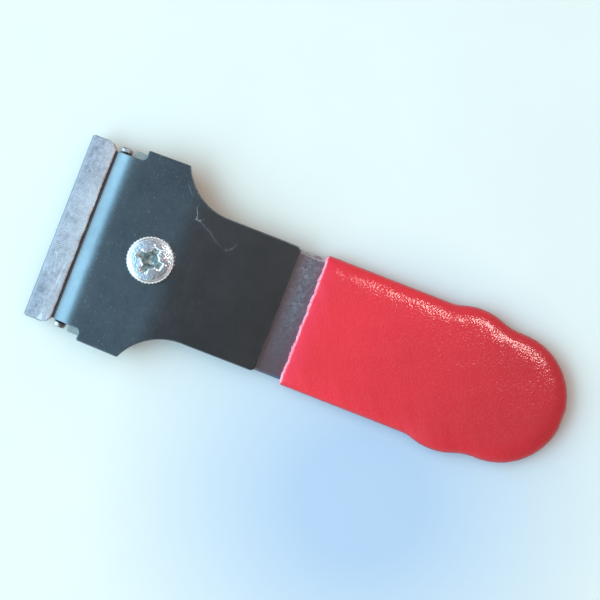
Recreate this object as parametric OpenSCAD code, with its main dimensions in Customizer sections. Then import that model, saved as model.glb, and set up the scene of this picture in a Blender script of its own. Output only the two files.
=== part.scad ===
// Razor blade scraper: a steel handle plate with a dipped vinyl grip, and a bent clamp plate that a knurled
// screw draws down on a single-edge blade. The blade lies reversed, with its folded back outwards.
// X runs from the blade to the end of the grip and Z is up. The origin lies under the middle of the tool.

/* [Blade] */
// Length of the blade, along its edge
blade_len = 38.1; // [34:0.1:42]
// Height of the blade, from its folded back to its cutting edge
blade_h = 17.2; // [15:0.1:19]
// Thickness of the blade steel
blade_t = 0.25; // [0.15:0.05:0.4]
// Width of the ground bevel along the cutting edge
bevel_w = 1.3; // [0.6:0.1:2]
// Width of the folded back
back_w = 5.4; // [4:0.1:7]
// Thickness of the strip that the back is folded from
back_t = 0.4; // [0.25:0.05:0.6]
// Corner radius at the free edges of the folded back
back_corner_r = 1.6; // [0.5:0.1:2.4]
// Length of each end notch, behind the folded back
notch_len = 3.8; // [3:0.1:5]
// Depth of each end notch
notch_depth = 1.5; // [1.3:0.1:2.2]

/* [Handle plate] */
// Thickness of the handle plate
plate_t = 1.8; // [1.2:0.1:2.4]
// Width of the tang that the grip covers
tang_w = 25.5; // [22:0.1:28]
// Width of each turned-up tab that stands in a blade notch
tab_w = 1.1; // [0.8:0.1:1.6]
// Height of the tabs above the plate
tab_h = 1; // [0.6:0.1:1.4]

/* [Clamp plate] */
// Thickness of the clamp plate
clamp_t = 1.2; // [0.8:0.1:1.6]
// Length of the clamp plate, from its lip to its heel
clamp_len = 40.8; // [38:0.1:48]
// Length of the narrow lip that fits between the tabs
lip_len = 5.9; // [4.6:0.1:7]
// Radius under the turned-down lip
lip_r = 4; // [3:0.1:4.4]
// Angle that the lip is turned down by
lip_angle = 45; // [25:1:50]
// Length of the wide shoulders
shoulder_len = 8.7; // [7:0.1:11]
// How far each shoulder stands out past the handle plate
shoulder_out = 1.2; // [0.4:0.05:2]
// Radius of the hollow between a shoulder and the narrow end
hollow_r = 11.8; // [9:0.1:14]

/* [Screw] */
// Thread diameter of the screw
screw_d = 4.8; // [4:0.1:5.4]
// Diameter of the knurled head
head_d = 9.6; // [8.6:0.1:12]
// Height of the head
head_h = 4.2; // [3.4:0.1:6]
// Number of teeth in the knurl
knurl_teeth = 40; // [24:1:60]

/* [Grip] */
// Length of bare plate between the clamp plate and the grip
bare_len = 5.1; // [3:0.1:9]
// Thickness of the vinyl on the edges of the tang
grip_side_t = 0.9; // [0.7:0.05:1.4]
// Thickness of the vinyl on the faces of the tang
grip_face_t = 1; // [0.7:0.05:1.4]
// Distance from the mouth of the grip to its finger lobes
lobe_x = 32.5; // [24:0.5:45]
// How far the lobes stand out past the straight sides
lobe_out = 1.07; // [0.6:0.01:1.6]
// Distance from the lobes to the centre of the round end
end_x = 9.4; // [8.6:0.1:11]

/* [Hidden] */
$fn = 96;
// Every cut runs past its face by this much
overrun = 1;
// Neighbouring points of an outline that lie closer than this are one point
same_point = 0.001;

// Clearances between the pieces
lip_gap = 0.35;
lip_side_gap = 0.15;
lip_seat_gap = 0.05;
heel_gap = 0.05;
head_seat_gap = 0.05;
plate_front_gap = 0.5;
notch_side_gap = 0.25;
edge_gap = 0.3;
thread_gap = 0.05;
clamp_hole_gap = 0.3;
tip_gap = 0.2;

// Places along the tool, counted from the folded back of the blade
plate_front = back_w + plate_front_gap;
lip_front = back_w + lip_gap;
shoulder_front = lip_front + lip_len;
shoulder_back = shoulder_front + shoulder_len;
screw_x = blade_h + edge_gap + screw_d / 2;
heel_x = lip_front + clamp_len;
mouth_x = heel_x + bare_len;
lobe_cx = mouth_x + lobe_x;
end_cx = lobe_cx + end_x;

// Half widths across the tool
narrow_out = 0.35;
tab_inner = blade_len / 2 - notch_depth + notch_side_gap;
plate_half = tab_inner + tab_w;
tang_half = tang_w / 2;
lip_half = tab_inner - lip_side_gap;
shoulder_half = plate_half + shoulder_out;
narrow_half = tang_half + narrow_out;

// Heights above the surface that the tool lies on
plate_z = grip_face_t;
plate_top = plate_z + plate_t;
blade_top = plate_top + blade_t;
clamp_z = blade_top + lip_seat_gap + lip_r * (1 - cos(lip_angle));
head_z = clamp_z + clamp_t + head_seat_gap;

// Points on an arc about c, from one angle to another
function arc(c, r, from, to, steps) =
  [for (i = [0 : steps]) let (a = from + (to - from) * i / steps) c + r * [cos(a), sin(a)]];

// Direction from one point to another
function heading(a, b) = atan2(b[1] - a[1], b[0] - a[0]);

// Where a circle about a, of radius ra, meets one about b, of radius rb, to the left of the way from a to b
function circles_meet(a, ra, b, rb) =
  let (d = norm(b - a), u = (b - a) / d, along = (ra ^ 2 - rb ^ 2 + d ^ 2) / (2 * d))
  a + along * u + sqrt(ra ^ 2 - along ^ 2) * [-u[1], u[0]];

function distinct(points) =
  [for (i = [0 : len(points) - 1]) if (i == 0 || norm(points[i] - points[i - 1]) > same_point) points[i]];

// Closes the outline of one long side with its mirror image
function both_sides(side) =
  distinct(concat(side, [for (i = [len(side) - 1 : -1 : 0]) [side[i][0], -side[i][1]]]));

module centred() {
  translate([-(end_cx + end_r + grip_side_t) / 2, 0, 0]) children();
}

// Stands a side profile, drawn in X and Z, across the tool
module across(width) {
  rotate([90, 0, 0]) linear_extrude(height = width, center = true) children();
}

// Handle plate: one stamping from the blade seat to the round end of the tang, with an ear turned up into
// a tab at each front corner and a hole that the nut is pressed into
tab_root = 0.4;
tab_round = 0.35;
relief_len = 1.5;
nut_body_d = 6.6;
tab_x = back_w + (notch_len - plate_t) / 2;

// Hollow that narrows a plate behind its wide front, about one centre for both plates
hollow_steps = 20;
hollow_cx = shoulder_back + sqrt(hollow_r ^ 2 - (hollow_r - shoulder_half + narrow_half) ^ 2);
hollow_c = [hollow_cx, narrow_half + hollow_r];
function hollow(wide_half, r) =
  arc(hollow_c, r, 180 + asin((hollow_c[1] - wide_half) / r), 270, hollow_steps);

// One side of the tang: a finger lobe and a round end, with tangent blends between them and the straight
// side. The arcs keep their centres when the outline is grown.
lobe_r = 11.6;
lobe_blend_r = 8.9;
waist_blend_r = 12.9;
end_in = 0.55;
blend_steps = 6;
lobe_steps = 10;
end_steps = 18;
end_r = tang_half - end_in;
end_c = [end_cx, 0];
lobe_c = [lobe_cx, tang_half + lobe_out - lobe_r];
lobe_blend_y = tang_half + lobe_blend_r;
lobe_blend_c = [lobe_cx - sqrt((lobe_r + lobe_blend_r) ^ 2 - (lobe_blend_y - lobe_c[1]) ^ 2), lobe_blend_y];
waist_c = circles_meet(lobe_c, lobe_r + waist_blend_r, end_c, end_r + waist_blend_r);
function tang_side(grow) = concat(
  arc(lobe_blend_c, lobe_blend_r - grow, -90, heading(lobe_blend_c, lobe_c), blend_steps),
  arc(lobe_c, lobe_r + grow, heading(lobe_c, lobe_blend_c), heading(lobe_c, waist_c), lobe_steps),
  arc(waist_c, waist_blend_r - grow, heading(waist_c, lobe_c), heading(waist_c, end_c), blend_steps),
  arc(end_c, end_r + grow, heading(end_c, waist_c), 0, end_steps));

module handle_blank() {
  side = concat([[plate_front, plate_half]], hollow(plate_half, hollow_r + narrow_out), tang_side(0));
  translate([0, 0, plate_z]) linear_extrude(height = plate_t) polygon(both_sides(side));
}

// Cuts the corner of the plate away between two places along it
module corner_cut(from, to) {
  depth = tab_root + tab_w + overrun;
  for (side = [-1, 1])
    translate([from, side * (tab_inner - tab_root + depth / 2) - depth / 2, plate_z - overrun])
      cube([to - from, depth, plate_t + 2 * overrun]);
}

module tab() {
  top = plate_t + tab_h;
  across(tab_w) translate([tab_x, plate_z]) {
    square([plate_t, top - tab_round]);
    translate([tab_round, 0]) square([plate_t - 2 * tab_round, top]);
    for (x = [tab_round, plate_t - tab_round]) translate([x, top - tab_round]) circle(tab_round);
  }
}

module handle_plate() {
  color("lightslategray") centred() {
    difference() {
      handle_blank();
      corner_cut(plate_front - overrun, tab_x);
      corner_cut(tab_x + plate_t, tab_x + plate_t + relief_len);
      translate([screw_x, 0, plate_z - overrun]) cylinder(d = nut_body_d, h = plate_t + 2 * overrun);
    }
    for (side = [-1, 1]) translate([0, side * (tab_inner + tab_w / 2), 0]) tab();
  }
}

// Vinyl grip: a dipped sleeve that hugs the tang, with a rounded edge, a rounded mouth and a flat sole.
// Its rings follow a superellipse from the sole to the top: each is the tang's outline, grown by less
// and less as the ring climbs away from the middle of the plate.
pillow_w = 5;
pillow_power = 2.5;
pillow_steps = 12;
mouth_r = 0.7;
mouth_steps = 4;
sole_depth = 0.1;

// Signed power of a sine or cosine, which gives the superellipse its square shoulders
function square_off(v) = sign(v) * abs(v) ^ (2 / pillow_power);

// How far the mouth edge rolls back at a height above or below the middle of the plate
function mouth_roll(h, face_t) =
  let (rise = max(0, abs(h) - plate_t / 2) / face_t) mouth_r * (1 - sqrt(max(0, 1 - rise ^ 2)));

function grip_ring(angle) =
  let (face_t = grip_face_t + (angle < 0 ? sole_depth : 0),
       h = (plate_t / 2 + face_t) * square_off(sin(angle)),
       grow = grip_side_t - pillow_w * (1 - square_off(cos(angle))),
       corner = [mouth_x + mouth_roll(h, face_t) + mouth_r, tang_half + grow - mouth_r],
       side = concat(arc(corner, mouth_r, 180, 90, mouth_steps), tang_side(grow)))
  [for (p = both_sides(side)) [p[0], p[1], plate_z + plate_t / 2 + h]];

module grip_blank() {
  rings = [for (i = [0 : pillow_steps]) grip_ring(-90 + 180 * i / pillow_steps)];
  n = len(rings[0]);
  walls = [for (k = [0 : pillow_steps - 1], j = [0 : n - 1])
             let (a = k * n + j, b = k * n + (j + 1) % n) each [[a, b, b + n], [a, b + n, a + n]]];
  sole = [for (j = [n - 1 : -1 : 0]) j];
  crown = [for (j = [0 : n - 1]) pillow_steps * n + j];
  polyhedron([for (ring = rings) each ring], concat(walls, [sole, crown]));
}

module vinyl_grip() {
  color("crimson") centred() difference() {
    grip_blank();
    handle_blank();
    translate([0, -shoulder_half, -overrun]) cube([2 * end_cx, 2 * shoulder_half, overrun]);
  }
}

// Clinch nut: a threaded collar pressed into the plate from below, with a flange as deep as the vinyl,
// so that the tool lies level
nut_flange_d = 9.4;
nut_chamfer = 0.3;

module clinch_nut() {
  bore_r = screw_d / 2 + thread_gap;
  color("silver") centred() translate([screw_x, 0, 0]) rotate_extrude() polygon([
    [bore_r + nut_chamfer, 0],
    [nut_flange_d / 2 - nut_chamfer, 0],
    [nut_flange_d / 2, nut_chamfer],
    [nut_flange_d / 2, plate_z],
    [nut_body_d / 2, plate_z],
    [nut_body_d / 2, plate_top],
    [bore_r, plate_top],
    [bore_r, nut_chamfer]]);
}

// Razor blade: thin hardened strip, ground to an edge from both faces, with a notch at each end
edge_t = 0.03;
notch_under = 1.6;

module razor_blade() {
  color("gainsboro") centred() difference() {
    across(blade_len) translate([0, plate_top]) polygon([
      [back_t, 0],
      [blade_h - bevel_w, 0],
      [blade_h, (blade_t - edge_t) / 2],
      [blade_h, (blade_t + edge_t) / 2],
      [blade_h - bevel_w, blade_t],
      [back_t, blade_t]]);
    for (side = [-1, 1])
      translate([back_w - notch_under, side * blade_len / 2 - notch_depth, plate_top - overrun])
        cube([notch_under + notch_len, 2 * notch_depth, blade_t + 2 * overrun]);
  }
}

// Folded back: a strip bent double over the back of the blade, with rounded corners at its free edges
back_inset = 0.2;

module blade_back() {
  fold_r = blade_t / 2 + back_t;
  half = blade_len / 2 - back_inset;
  corner = [back_w - back_corner_r, half - back_corner_r];
  side = concat([[-overrun, half]], arc(corner, back_corner_r, 90, 0, mouth_steps * 2));
  color("lightsteelblue") centred() intersection() {
    linear_extrude(height = 2 * plate_top) polygon(both_sides(side));
    across(blade_len) translate([0, plate_top + blade_t / 2]) difference() {
      union() {
        translate([fold_r, 0]) circle(fold_r);
        translate([fold_r, -fold_r]) square([back_w - fold_r + overrun, 2 * fold_r]);
      }
      translate([back_t, -blade_t / 2]) square([back_w + overrun, blade_t]);
    }
  }
}

// Clamp plate: a black stamping whose lip is turned down on the blade and whose rear is bent down, right
// behind the screw, so that its heel meets the handle plate. The screw bears on the flat between the bends.
shoulder_flare = 0.2;
notch_corner_r = 1;
heel_corner_r = 1.2;
corner_steps = 6;
bend_steps = 24;
heel_bend_r = 60;
seat_d = 8.2;
lip_bend_x = lip_front + (lip_r + clamp_t) * sin(lip_angle);
heel_bend_x = screw_x + seat_d / 2;
heel_drop = clamp_z - plate_top - heel_gap;

// Angle that brings the straight rear of the plate down to the heel, tangent to the bend
heel_reach = heel_x - heel_bend_x;
heel_wide = 2 * heel_bend_r - heel_drop;
heel_angle = 2 * atan((heel_reach - sqrt(heel_reach ^ 2 - heel_wide * heel_drop)) / heel_wide);

// Side view of one face of the plate, at a height above its underside: the lip's arc, the flat, the rear bend
// and a straight run past the heel, where the outline cuts it off
function clamp_face(h) =
  let (lip = arc([lip_bend_x, clamp_z - lip_r], lip_r + h, 90 + lip_angle, 90, bend_steps),
       rear = arc([heel_bend_x, clamp_z - heel_bend_r], heel_bend_r + h, 90, 90 - heel_angle, bend_steps))
  concat(lip, rear, [rear[bend_steps] + heel_reach * [cos(heel_angle), -sin(heel_angle)]]);

module clamp_profile() {
  under = clamp_face(0);
  over = clamp_face(clamp_t);
  polygon(concat(under, [for (i = [len(over) - 1 : -1 : 0]) over[i]]));
}

module clamp_plate() {
  side = concat(
    [[0, lip_half]],
    arc([shoulder_front - notch_corner_r, lip_half + notch_corner_r], notch_corner_r, -90, 0, corner_steps),
    [[shoulder_front, shoulder_half - shoulder_flare]],
    hollow(shoulder_half, hollow_r),
    arc([heel_x - heel_corner_r, narrow_half - heel_corner_r], heel_corner_r, 90, 0, corner_steps));
  color("dimgray") centred() difference() {
    intersection() {
      linear_extrude(height = 2 * head_z) polygon(both_sides(side));
      across(2 * shoulder_half) clamp_profile();
    }
    translate([screw_x, 0, 0]) cylinder(d = screw_d + 2 * clamp_hole_gap, h = 2 * head_z);
  }
}

// Thumb screw: a knurled head with a smooth seat, a domed face and a cross recess, on a plain shank
seat_h = 0.5;
knurl_depth = 0.25;
rim_chamfer = 0.6;
seat_chamfer = 0.3;
dome_rise = 0.3;
tip_chamfer = 0.5;
recess_span = 4.9;
recess_foot = 1.6;
recess_w = 1.2;
recess_depth = 2.4;
recess_flare_d = 3.2;
recess_turn = -12;

module knurled_head() {
  r = head_d / 2;
  face_r = r - rim_chamfer;
  dome_r = (face_r ^ 2 + dome_rise ^ 2) / (2 * dome_rise);
  intersection() {
    linear_extrude(height = head_h) polygon([for (i = [0 : 2 * knurl_teeth - 1])
      (r - (i % 2) * knurl_depth) * [cos(180 * i / knurl_teeth), sin(180 * i / knurl_teeth)]]);
    rotate_extrude() polygon([
      [0, 0],
      [seat_d / 2, 0],
      [seat_d / 2, seat_h],
      [r - seat_chamfer, seat_h],
      [r, seat_h + seat_chamfer],
      [r, head_h - dome_rise - rim_chamfer],
      [face_r, head_h - dome_rise],
      [face_r, head_h],
      [0, head_h]]);
    translate([0, 0, head_h - dome_r]) sphere(dome_r);
  }
}

module cross_recess() {
  for (turn = [0, 90]) rotate(recess_turn + turn) across(recess_w) polygon([
    [-recess_span / 2, overrun],
    [-recess_span / 2, 0],
    [-recess_foot / 2, -recess_depth],
    [recess_foot / 2, -recess_depth],
    [recess_span / 2, 0],
    [recess_span / 2, overrun]]);
  translate([0, 0, -recess_depth]) cylinder(d1 = recess_foot, d2 = recess_flare_d, h = recess_depth);
}

module thumb_screw() {
  shank_len = head_z - tip_gap;
  color("silver") centred() translate([screw_x, 0, head_z]) {
    difference() {
      knurled_head();
      translate([0, 0, head_h]) cross_recess();
    }
    translate([0, 0, -shank_len]) rotate_extrude() polygon([
      [0, 0],
      [screw_d / 2 - tip_chamfer, 0],
      [screw_d / 2, tip_chamfer],
      [screw_d / 2, shank_len],
      [0, shank_len]]);
  }
}

handle_plate();
vinyl_grip();
clinch_nut();
razor_blade();
blade_back();
clamp_plate();
thumb_screw();
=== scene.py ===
import bmesh
import bpy
import numpy as np
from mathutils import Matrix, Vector


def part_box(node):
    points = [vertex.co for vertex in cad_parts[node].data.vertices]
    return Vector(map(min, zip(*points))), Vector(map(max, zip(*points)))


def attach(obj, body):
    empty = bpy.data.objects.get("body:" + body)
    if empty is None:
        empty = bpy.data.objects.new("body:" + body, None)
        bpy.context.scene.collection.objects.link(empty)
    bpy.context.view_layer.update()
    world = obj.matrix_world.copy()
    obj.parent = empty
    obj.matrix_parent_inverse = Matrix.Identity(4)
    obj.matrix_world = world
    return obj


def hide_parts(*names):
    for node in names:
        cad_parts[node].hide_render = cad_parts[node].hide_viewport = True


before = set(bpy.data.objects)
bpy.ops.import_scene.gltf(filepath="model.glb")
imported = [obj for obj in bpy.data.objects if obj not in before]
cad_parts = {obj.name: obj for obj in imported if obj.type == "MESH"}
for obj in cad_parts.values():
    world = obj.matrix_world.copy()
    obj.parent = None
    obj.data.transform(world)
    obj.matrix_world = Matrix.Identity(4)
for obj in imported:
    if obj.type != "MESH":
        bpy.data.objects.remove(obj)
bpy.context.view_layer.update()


# Handle plate: one strip of cold-rolled steel with rolled round edges, stamped from the blade seat to the
# round end of the tang. An ear at each front corner is turned up into a tab that a notch of the blade drops
# over, and a hole behind the blade takes the nut.
MM = 0.001
# Places along the tool are in millimetres from its front, where the folded back of the blade lies
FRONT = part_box("blade_back")[0].x
SCREW = np.array([19.9, 0.0])
PLATE_Z = 1.0
PLATE_T = 1.8
PLATE_EDGE_R = 0.8
PLATE_CORNER_R = 0.95
PLATE_SIDE = 18.9
PLATE_SIDE_END = 20.57
SEAT_FRONT = 5.9
SEAT_BACK = 9.7
SEAT_SIDE = 17.4
SEAT_CORNER_R = 0.4
# Centre of the hollow in each side, which the clamp plate shares, and a point that leads into it
HOLLOW_X = 31.13
HOLLOW_Y = 24.9
PLATE_HOLLOW_R = 12.15
PLATE_HOLLOW_LEAD = (21.5, 17.41)
TANG_SIDE = HOLLOW_Y - PLATE_HOLLOW_R
# The mesh runs round the hole as far as RING_X, and from SPINE_X it meets on the middle line of the tang
RING_X = 34
SPINE_X = 46
LOBE_X = 77.614
END_X = 93.55
END_R = 12.2
# Arcs of the tang's side, each a centre, a radius, two angles and which way the radius grows
TANG_ARCS = ((LOBE_X, 21.65, 8.9, -90, -71.41, -1), (84.15, 2.22, 11.6, 108.59, 69, 1),
             (92.931, 25.092, 12.9, -111, -88.59, -1), (END_X, 0, END_R, 91.41, 2, 1))
NUT_BODY_R = 3.3
TAB_X = 7.3
TAB_HALF = 1.1
TAB_BEND_R = 1.0
TAB_FOOT_Y = 17.0
TAB_STEP = 0.8
TAB_STEP_Z = (2.6, 3.1)
TAB_WORN_Z = (2.9, 3.2)
TAB_ARCH = 0.7
TAB_ARCH_Z = 3.1
RIM_LAP = 0.12
SHARP_EDGE = np.radians(38)


def arc(x, y, radius, start, end, count):
    """Points on a circle about (x, y), from one angle to another in degrees."""
    angle = np.radians(np.linspace(start, end, count))
    return np.column_stack([x + radius * np.cos(angle), y + radius * np.sin(angle)])


def corner(before, point, after, radius, count=8):
    """Points on the arc that rounds a corner: its ends lie on the two straight runs, at the tangent length,
    and the points between turn evenly from one end to the other about the arc's centre."""
    runs = np.subtract([before, after], point)
    to_before, to_after = runs / np.linalg.norm(runs, axis=1, keepdims=True)
    half = np.arccos(to_before @ to_after) / 2
    middle = (to_before + to_after) / np.linalg.norm(to_before + to_after)
    centre = point + middle * radius / np.sin(half)
    start, end = (point + way * radius / np.tan(half) - centre for way in (to_before, to_after))
    sweep = np.pi - 2 * half
    share = np.linspace(0, 1, count)[:, None]
    return centre + (np.sin((1 - share) * sweep) * start + np.sin(share * sweep) * end) / np.sin(sweep)


def rounded(chain, radii):
    """Arcs at the inner points of a chain, each with its own radius. Its ends only give directions."""
    return [corner(*chain[place:place + 3], radius) for place, radius in enumerate(radii)]


def both_sides(side):
    """Outline of a whole piece: one long side from front to back, then its mirror image back again."""
    return np.concatenate([side, side[::-1] * [1, -1]])


def inward(outline):
    """Step inwards at each point of an outline, for one unit of inset: the mitre of its two runs."""
    run = np.roll(outline, -1, 0) - outline
    run /= np.linalg.norm(run, axis=1, keepdims=True)
    left = np.column_stack([-run[:, 1], run[:, 0]])
    before = np.roll(left, 1, 0)
    ahead = np.roll(outline, -1, 0)
    turn = np.sign(np.sum(outline[:, 0] * ahead[:, 1] - ahead[:, 0] * outline[:, 1]))
    return turn * (left + before) / (1 + np.sum(left * before, axis=1, keepdims=True))


def rim(thickness, low_r, high_r, count=9):
    """Edge of a sheet as rows of (inset, height, edge): in along the lower face, a quarter circle round the
    lower edge, straight up, a quarter circle round the upper edge and a short lap on the upper face."""
    turn = np.linspace(0, np.pi / 2, count)
    shine = np.sin(2 * turn)
    low = np.column_stack([low_r * (1 - np.sin(turn)), low_r * (1 - np.cos(turn)), shine])
    high = np.column_stack([high_r * (1 - np.cos(turn)), thickness - high_r * (1 - np.sin(turn)), shine])
    return np.concatenate([[[low_r + RIM_LAP, 0, 0]], low, high, [[high_r + RIM_LAP, thickness, 0]]])


def sheet(outline, inner, edge, rows, spine=False):
    """Closed shell of a flat sheet with a hole: rings run from an inner line straight out to the rim, closer
    together as they near it, round the rim by its own profile and back on the upper face, then down the
    hole. Where the inner line is a spine, the two sides of the sheet meet there and no wall goes down."""
    ring = outline + edge[:, 0, None, None] * inward(outline)
    share = (1 - (1 - np.linspace(0, 1, rows)) ** 1.6)[:-1, None, None]
    low = inner + share * (ring[0] - inner)
    high = (inner + share * (ring[-1] - inner))[::-1]
    rings = np.concatenate([low, ring, high, low[:1]])
    rise = np.concatenate([np.repeat(edge[:1, 1:], rows - 1, 0), edge[:, 1:],
                           np.repeat(edge[-1:, 1:], rows - 1, 0), edge[:1, 1:]])
    shell = np.concatenate([rings, np.broadcast_to(rise[:, None], rings.shape)], axis=2)
    shell[-1] = np.where(np.broadcast_to(spine, len(outline))[:, None], shell[-2], shell[-1])
    return shell


def turned_tab(side):
    """Turned-up ear: rounded rectangles stacked upwards. The outer side rounds the bend below, the inner
    side steps out at the plate's top, and the last rings arch over the top along a flattened ellipse."""
    turn = np.linspace(0, 2 * np.pi, 32, endpoint=False)
    top = np.linspace(0, np.pi / 2, 10)
    wall = np.linspace(PLATE_Z + 0.02, TAB_ARCH_Z - 0.05, 22)
    z = np.concatenate([[PLATE_Z] * 2, wall, TAB_ARCH_Z + TAB_ARCH * np.sin([*top, np.pi / 2])])
    arch = np.concatenate([[0], np.ones(23), np.cos(top), [0]])
    shrink = np.concatenate([[1], np.zeros(23), 0.3 * (1 - np.cos(top)), [1]])
    under = np.clip(PLATE_Z + TAB_BEND_R - z, 0, TAB_BEND_R)
    step = np.interp(z, TAB_STEP_Z, [0, 1])
    outer = PLATE_SIDE - TAB_BEND_R + np.sqrt(TAB_BEND_R ** 2 - under ** 2)
    inner = TAB_FOOT_Y + TAB_STEP * step * step * (3 - 2 * step)
    square_cos, square_sin = (np.sign(v) * np.abs(v) ** 0.4 for v in (np.cos(turn), np.sin(turn)))
    half_y = np.clip((outer - inner) / 2 - shrink, 0, None)[:, None]
    x = TAB_X + TAB_HALF * arch[:, None] * square_cos
    y = side * ((outer + inner)[:, None] / 2 + half_y * square_sin)
    worn = np.broadcast_to(np.interp(z, TAB_WORN_Z, [0, 1])[:, None], x.shape)
    return np.stack([x, y, np.broadcast_to(z[:, None], x.shape), worn], axis=2)


def put(name, data):
    """Object made of some data and put in the scene."""
    made = bpy.data.objects.new(name, data)
    bpy.context.scene.collection.objects.link(made)
    return made


def lay_piece(name, material, *grids):
    """Mesh object in one material, from grids of points, each rows x columns x (x, y, z, edge). Four
    neighbours make a face, the last column joins the first, and points that meet at a seam or pole are
    merged. A grid whose faces enclose a negative volume is turned round. The edge value, 1 on a rubbed
    edge, stays on the points."""
    points, faces, count = [], [], 0
    for grid in grids:
        rows, columns = grid.shape[:2]
        row, column = np.meshgrid(np.arange(rows - 1), np.arange(columns), indexing="ij")
        here, beside = row * columns + column, row * columns + (column + 1) % columns
        quads = np.stack([here, beside, beside + columns, here + columns], -1).reshape(-1, 4)
        spots = grid.reshape(-1, 4)
        ends = spots[quads, :3]
        fan = np.cross(ends[:, 1], ends[:, 2]) + np.cross(ends[:, 2], ends[:, 3])
        faces.append((quads if np.sum(ends[:, 0] * fan) > 0 else quads[:, ::-1]) + count)
        points.append(spots)
        count += len(spots)
    points = np.concatenate(points)
    mesh = bpy.data.meshes.new(name)
    mesh.from_pydata(points[:, :3] * MM + [FRONT, 0, 0], [], np.concatenate(faces))
    worn = mesh.attributes.new("edge", "FLOAT", "POINT")
    worn.data.foreach_set("value", points[:, 3].astype(np.float32))
    shell = bmesh.new()
    shell.from_mesh(mesh)
    bmesh.ops.remove_doubles(shell, verts=shell.verts[:], dist=1e-7)
    shell.to_mesh(mesh)
    shell.free()
    mesh.shade_smooth()
    mesh.set_sharp_from_angle(angle=SHARP_EDGE)
    mesh.materials.append(material)
    return put(name, mesh)


def add_node(tree, kind, inputs=None, **settings):
    """Shader node whose inputs are linked where a socket is given and set where a plain value is."""
    made = tree.nodes.new(kind)
    for name, value in settings.items():
        setattr(made, name, value)
    for name, value in (inputs or {}).items():
        if isinstance(value, bpy.types.NodeSocket):
            tree.links.new(value, made.inputs[name])
        else:
            made.inputs[name].default_value = value
    return made


def axes(tree, place):
    """The three coordinates of a place, in metres."""
    return add_node(tree, "ShaderNodeSeparateXYZ", {0: place}).outputs


def maths(tree, operation, *values, clamp=True):
    """Result of one Math node, kept between 0 and 1 unless clamp is off."""
    inputs = dict(enumerate(values))
    return add_node(tree, "ShaderNodeMath", inputs, operation=operation, use_clamp=clamp).outputs[0]


def times(tree, first, *others):
    """Product of masks, kept between 0 and 1."""
    for other in others:
        first = maths(tree, "MULTIPLY", first, other)
    return first


def ramp(tree, value, low, high, start=0.0, end=1.0):
    """Value carried from the range low..high to start..end, and held there outside it."""
    inputs = dict(enumerate((value, low, high, start, end)))
    return add_node(tree, "ShaderNodeMapRange", inputs).outputs[0]


def tint(tree, mask, low, high):
    """Colour that goes from low to high as the mask goes from 0 to 1. A plain colour is red, green, blue."""
    low, high = ((*colour, 1) if isinstance(colour, tuple) else colour for colour in (low, high))
    return add_node(tree, "ShaderNodeMix", {0: mask, 6: low, 7: high}, data_type="RGBA").outputs[2]


def noise(tree, place, size, detail=3.0, roughness=0.55):
    """Cloudy noise about 0.5, with features of a size in metres."""
    inputs = {"Vector": place, "Scale": 1 / size, "Detail": detail, "Roughness": roughness}
    return add_node(tree, "ShaderNodeTexNoise", inputs).outputs["Fac"]


def edge_value(tree):
    """The piece's own edge value, 1 on a rubbed edge."""
    return add_node(tree, "ShaderNodeAttribute", attribute_name="edge").outputs["Fac"]


def shader_group(name, output, **inputs):
    """Empty node group with a Place vector, number inputs with their first values, and one number output."""
    tree = bpy.data.node_groups.new(name, "ShaderNodeTree")
    tree.interface.new_socket("Place", in_out="INPUT", socket_type="NodeSocketVector")
    for label, value in inputs.items():
        socket = tree.interface.new_socket(label, in_out="INPUT", socket_type="NodeSocketFloat")
        socket.default_value = value
    tree.interface.new_socket(output, in_out="OUTPUT", socket_type="NodeSocketFloat")
    return tree, tree.nodes.new("NodeGroupInput").outputs, tree.nodes.new("NodeGroupOutput").inputs[0]


def rubbed_group():
    """Rubbed edges: the piece's edge value, broken up by a noise of its own size."""
    tree, given, result = shader_group("rubbed_edges", "Rubbed", Size=0.0008, Amount=0.6)
    scale = maths(tree, "DIVIDE", 1.0, given["Size"], clamp=False)
    patch = add_node(tree, "ShaderNodeTexNoise", {"Vector": given["Place"], "Scale": scale, "Detail": 3.0})
    kept = ramp(tree, patch.outputs["Fac"], 0.35, 0.65)
    tree.links.new(times(tree, edge_value(tree), kept, given["Amount"]), result)
    return tree


RUBBED = rubbed_group()


def place_group(tree, group, place, **values):
    """A shared effect placed in a material, with its own values. Returns its one result."""
    made = add_node(tree, "ShaderNodeGroup", node_tree=group)
    tree.links.new(place, made.inputs["Place"])
    for label, value in values.items():
        made.inputs[label].default_value = value
    return made.outputs[0]


def new_finish(name, **constants):
    """Material with its node tree, its shader with plain values set, and the object's own coordinates."""
    material = bpy.data.materials.new(name)
    material.use_nodes = True
    tree = material.node_tree
    shader = tree.nodes["Principled BSDF"]
    for label, value in constants.items():
        shader.inputs[label.replace("_", " ")].default_value = value
    return material, tree, shader, tree.nodes.new("ShaderNodeTexCoord").outputs["Object"]


def finish_with(tree, shader, colour, roughness, height, depth, strength=1.0):
    """Feeds a shader its colour and roughness, and bumps it by a height of that depth in metres."""
    tree.links.new(colour, shader.inputs["Base Color"])
    tree.links.new(roughness, shader.inputs["Roughness"])
    bump = add_node(tree, "ShaderNodeBump", {"Height": height, "Distance": depth, "Strength": strength})
    tree.links.new(bump.outputs[0], shader.inputs["Normal"])


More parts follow.
